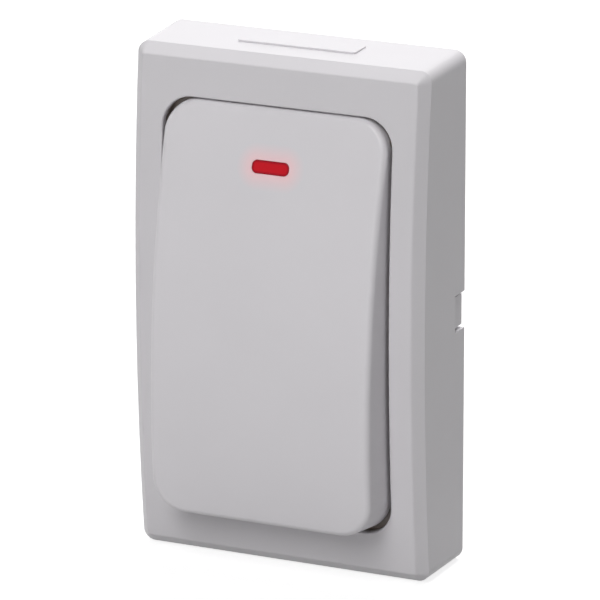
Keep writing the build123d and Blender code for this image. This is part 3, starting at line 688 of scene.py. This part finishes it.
flat_side = node(tree, "Math", {0: turned, 1: 0.5}, operation="GREATER_THAN").outputs[0]
tree.links.new(
    blend(tree, flat_side, "RGBA", (0.52, 0.45, 0.22, 1), green), shader.inputs["Base Color"]
)
tree.links.new(blend(tree, flat_side, "FLOAT", 0.75, 0.3), shader.inputs["Roughness"])
raised = node(tree, "Bump", {"Height": track, "Strength": 0.4, "Distance": track_height})
tree.links.new(raised.outputs["Normal"], shader.inputs["Normal"])
dress(board_laminate, "circuit_board")

# Push switch: a black nylon body under a stamped steel cover, with a nylon stem that the rocker
# presses through the deck. Four tinned legs are soldered through the board.
switch_nylon, tree, shader = surface("switch_nylon")
feed(
    tree,
    shader,
    use_effect(
        tree,
        moulding,
        {"Plastic": (0.022, 0.022, 0.024, 1), "Tone Spread": 0.15, "Gloss": 0.36},
    ),
)
dress(switch_nylon, "switch_body", "switch_stem")
cover_steel = bare_metal("cover_steel", {"Metal": (0.6, 0.6, 0.6, 1), "Gloss": 0.24})
dress(cover_steel, "switch_cover")
tinned_wire = bare_metal(
    "tinned_wire",
    {"Metal": (0.7, 0.7, 0.69, 1), "Tarnish": (0.45, 0.45, 0.44, 1), "Patch Scale": 900.0},
)
dress(tinned_wire, "switch_legs", "led_leads", "chip_pins", "supply_capacitor_leads")

# Indicator lamp: a 3 mm light-emitting diode cast in clear red epoxy, behind the lens. Its two legs
# are soldered through the board.
led_epoxy, tree, shader = surface("led_epoxy")
shader.inputs["Base Color"].default_value = (0.75, 0.03, 0.03, 1)
shader.inputs["Roughness"].default_value = 0.08
shader.inputs["IOR"].default_value = 1.54
shader.inputs["Transmission Weight"].default_value = 0.55
dress(led_epoxy, "indicator_led")

# Encoder chip and transistor: black moulded epoxy, soldered flat to the back of the board. A moulded
# dimple marks the chip's first pin.
package_epoxy, tree, shader = surface("package_epoxy")
package = use_effect(
    tree,
    moulding,
    {"Plastic": (0.03, 0.03, 0.032, 1), "Tone Spread": 0.2, "Grain Scale": 9000.0, "Gloss": 0.5},
)
feed(tree, shader, package)
dimple_inset = 0.0009
dimple_radius = 0.0004
chip_low, chip_high = extent("encoder_chip")
dimple_centre = (chip_low.x + dimple_inset, chip_high.y, chip_high.z - dimple_inset)
places = node(tree, "TexCoord", {}).outputs["Object"]
off = node(tree, "VectorMath", {0: places, 1: dimple_centre}, operation="DISTANCE").outputs["Value"]
dimple = node(tree, "Math", {0: off, 1: dimple_radius}, operation="LESS_THAN").outputs[0]
tree.links.new(
    blend(tree, dimple, "RGBA", package["Base Color"], (0.075, 0.075, 0.078, 1)),
    shader.inputs["Base Color"],
)
tree.links.new(blend(tree, dimple, "FLOAT", package["Roughness"], 0.25), shader.inputs["Roughness"])
dress(package_epoxy, "encoder_chip", "transistor")

# Resonator: a quartz element in a drawn nickel silver can, which is seam welded to its base and
# soldered to the board.
can_metal = bare_metal(
    "can_metal",
    {"Metal": (0.62, 0.6, 0.56, 1), "Gloss": 0.2, "Tarnish Amount": 0.15},
)
dress(can_metal, "resonator_can")

# Aerial: a coil of copper wire, soldered to the board by its two legs. The enamel on the wire is a
# clear and glossy coat.
enamelled_copper = bare_metal(
    "enamelled_copper",
    {"Metal": (0.72, 0.27, 0.1, 1), "Tarnish": (0.4, 0.12, 0.05, 1), "Gloss": 0.14},
)
shader = enamelled_copper.node_tree.nodes["Principled BSDF"]
shader.inputs["Coat Weight"].default_value = 0.7
shader.inputs["Coat Roughness"].default_value = 0.08
dress(enamelled_copper, "antenna_coil")

# Surface-mount resistors and capacitors: small ceramic blocks with tinned ends. The resistors have a
# black glaze, and the capacitors are plain tan ceramic.
tinned_end = 0.0004


def chip_part(name, piece, ceramic, gloss):
    """A ceramic block's material, with tinned ends across the object's width."""
    low, high = extent(piece)
    material, tree, shader = surface(name)
    tin = use_effect(tree, finish, {"Metal": (0.7, 0.7, 0.68, 1), "Patch Scale": 1500.0})
    body = band_mask(tree, "X", low.x + tinned_end, high.x - tinned_end)
    cover(tree, shader, tin, body, ceramic, gloss)
    dress(material, piece)


chip_part("resistor_glaze", "resistors", (0.02, 0.02, 0.022, 1), 0.25)
chip_part("capacitor_ceramic", "capacitors", (0.46, 0.33, 0.2, 1), 0.5)

# Supply capacitor: an aluminium can in a dark shrunk sleeve with a pale stripe on the side of its
# negative lead, lying flat on the board.
bare_rim = 0.00012
stripe_edge = 0.0012
past_end = 0.001
sleeve_gloss = 0.32
can_low, can_high = extent("supply_capacitor")
can_middle = (can_low + can_high) / 2
capacitor_sleeve, tree, shader = surface("capacitor_sleeve")
bare = use_effect(tree, finish, {"Metal": (0.75, 0.75, 0.76, 1), "Gloss": 0.25})
sleeve = band_mask(tree, "X", can_low.x - past_end, can_high.x - bare_rim)
stripe = band_mask(tree, "Z", can_low.z - past_end, can_middle.z - stripe_edge)
inked = blend(tree, stripe, "RGBA", (0.012, 0.02, 0.06, 1), (0.6, 0.62, 0.65, 1))
cover(tree, shader, bare, sleeve, inked, sleeve_gloss)
dress(capacitor_sleeve, "supply_capacitor")

# Board screws: zinc plated steel, driven into the case's posts from behind. They hold the board down
# on the posts.
screw_zinc = bare_metal(
    "screw_zinc",
    {"Metal": (0.58, 0.59, 0.62, 1), "Tarnish": (0.5, 0.47, 0.36, 1), "Tarnish Amount": 0.4},
)
dress(screw_zinc, "board_screws")
